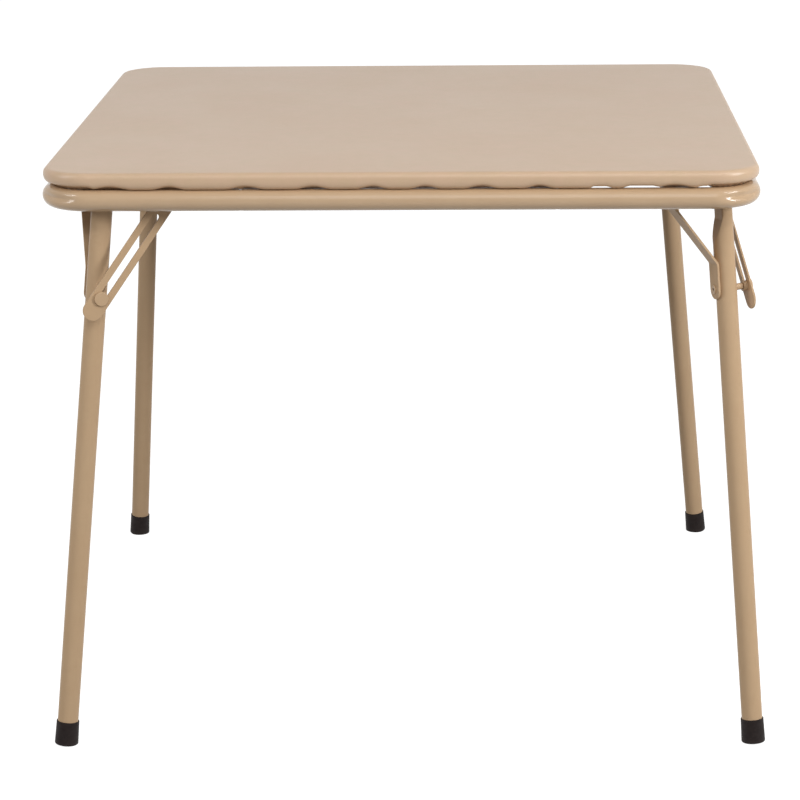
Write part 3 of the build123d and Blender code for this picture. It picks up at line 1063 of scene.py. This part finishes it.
# %% Build the foam pad
foam_roll = 4.0 * mm
vinyl_and_slack = 1.3 * vinyl_thickness
foam_top = top_height - crown - vinyl_and_slack
foam_side_steps = 40
foam_corner_steps = 12
foam_roll_steps = 12
foam_shares = (0.3, 0.6, 0.85)


def make_foam_pad():
    """A slab with rolled upper and lower edges that fills the space between board and vinyl."""
    foam_corner = corner_radius - vinyl_thickness
    stops = walk_square(foam_high.x, foam_corner, foam_side_steps, foam_corner_steps)
    rise = (foam_top - foam_low.z) / 2
    middle = foam_low.z + rise
    rings = [[(0.0, 0.0, foam_top)]]
    for share in foam_shares:
        rings.append([(*(stop.place * share), foam_top) for stop in stops])
    for step in range(foam_roll_steps + 1):
        angle = math.pi * (0.5 - step / foam_roll_steps)
        inset = vinyl_thickness + foam_roll * (1 - math.cos(angle))
        height = middle + rise * math.sin(angle)
        rings.append([(*stop.inwards(inset), height) for stop in stops])
    rings.append([(0.0, 0.0, foam_low.z)])
    return join_rings("soft_foam_pad", rings, foam)


foam_pad = make_foam_pad()
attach(foam_pad, "table_frame")
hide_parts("foam_pad")
print("foam:", len(foam_pad.data.polygons), "faces")

# %% [markdown]
# The frame is one tube, bent cold at four corners. A bend as tight as this one flattens the
# tube's outer wall and leaves a shallow hollow between two soft ridges, which catch the light
# at each front corner of the photograph. A plain sweep can't do that, so the tube is made of
# rings like the cover, and each ring is pressed in on its outer side by an amount that grows
# towards the middle of the bend.

# %% Press in the bends
bend_outside = 60.0 * mm
bend_radius = bend_outside - rail_radius
flat_depth = 1.2 * mm
flat_spread = 0.85
hollow_depth = 3.6 * mm
hollow_angle = math.radians(13)
hollow_spread = 0.38
press_growth = 2.4
wander_amount = 0.12
wander_scale = 3
wander_layer = 1.7


def bend_press(turn, angle):
    """How far the tube's wall is pressed in at this part of the bend and side of the tube."""
    if turn is None:
        return 0.0
    wander = wander_amount * noise.noise(Vector((turn * wander_scale, angle, wander_layer)))
    share = smooth(press_growth * min(turn, 1 - turn)) * (1 + wander)
    flat = flat_depth * math.exp(-((angle / flat_spread) ** 2))
    hollow = hollow_depth * math.exp(-(((angle - hollow_angle) / hollow_spread) ** 2))
    return share * (flat + hollow)


def tube_rings(radius, stops, around):
    """Rings along the frame, each a circle across the tube that is pressed in at the bends."""
    rings = []
    for stop in stops:
        ring = []
        for index in range(around):
            angle = math.remainder(2 * math.pi * index / around, 2 * math.pi)
            reach = radius - bend_press(stop.turn, angle)
            place = stop.place + stop.outward * reach * math.cos(angle)
            ring.append((*place, rail_height + reach * math.sin(angle)))
        rings.append(ring)
    return rings


print("deepest press:", round(bend_press(0.5, hollow_angle) / mm, 2), "mm")

# %% [markdown]
# Eight screws go up through the frame into the board. Each has a small hole in the upper wall
# and a wide one in the lower wall, for the driver to reach in. They are drilled with a Boolean
# modifier and upright pegs, because holes across rings of faces would be laborious to place by
# hand. The tube has an outer skin and a bore, so that the drilled edges show a real wall.

# %% Build the frame tube with its screw holes
wall = 1.2 * mm
screw_hole = 4.4 * mm
driver_hole = 10.0 * mm
rail_side_steps = 48
bend_steps = 34
outer_points = 56
bore_points = 40
peg_points = 28


def add_tube_skin(mesh, rings, inward):
    """The faces of one skin of the tube, turned outwards or towards the bore."""
    made = [[mesh.verts.new(point) for point in ring] for ring in rings]
    for near, far in zip(made, made[1:] + made[:1]):
        for index in range(len(near)):
            after = (index + 1) % len(near)
            corners = [near[index], far[index], far[after], near[after]]
            mesh.faces.new(corners[::-1] if inward else corners)


def make_pegs():
    """Upright pegs at the screws: thin ones through the upper wall, wide ones through the lower."""
    upper = (screw_hole, rail_height, rail_height + 2 * rail_radius)
    lower = (driver_hole, rail_height - 2 * rail_radius, rail_height - 0.5 * rail_radius)
    mesh = bmesh.new()
    for side in range(4):
        for along in screw_places:
            place = Matrix.Rotation(side * math.pi / 2, 2) @ Vector((along, -rail_line))
            for width, low, high in (upper, lower):
                bmesh.ops.create_cone(
                    mesh, cap_ends=True, segments=peg_points, radius1=width / 2,
                    radius2=width / 2, depth=high - low,
                    matrix=Matrix.Translation((*place, (low + high) / 2)),
                )
    return make_tool("pegs", mesh)


def drill(piece, pegs):
    """Cuts the pegs out of the piece and keeps what is left as its plain mesh."""
    holes = piece.modifiers.new("holes", "BOOLEAN")
    holes.object = pegs
    holes.operation = "DIFFERENCE"
    holes.solver = "EXACT"
    bpy.context.view_layer.update()
    seen = piece.evaluated_get(bpy.context.evaluated_depsgraph_get())
    drilled = bpy.data.meshes.new_from_object(seen)
    piece.modifiers.clear()
    piece.data = drilled
    bpy.data.objects.remove(pegs)


def make_frame_tube():
    """The outer skin and the bore of the frame's tube, drilled at the eight screws."""
    stops = walk_square(rail_line, bend_radius, rail_side_steps, bend_steps)
    mesh = bmesh.new()
    add_tube_skin(mesh, tube_rings(rail_radius, stops, outer_points), False)
    add_tube_skin(mesh, tube_rings(rail_radius - wall, stops, bore_points), True)
    bmesh.ops.recalc_face_normals(mesh, faces=mesh.faces)
    tube = make_piece("frame_tube", mesh, frame_paint)
    drill(tube, make_pegs())
    return tube


frame_tube = make_frame_tube()
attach(frame_tube, "table_frame")
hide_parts("frame_rail")
print("frame tube:", len(frame_tube.data.polygons), "faces")
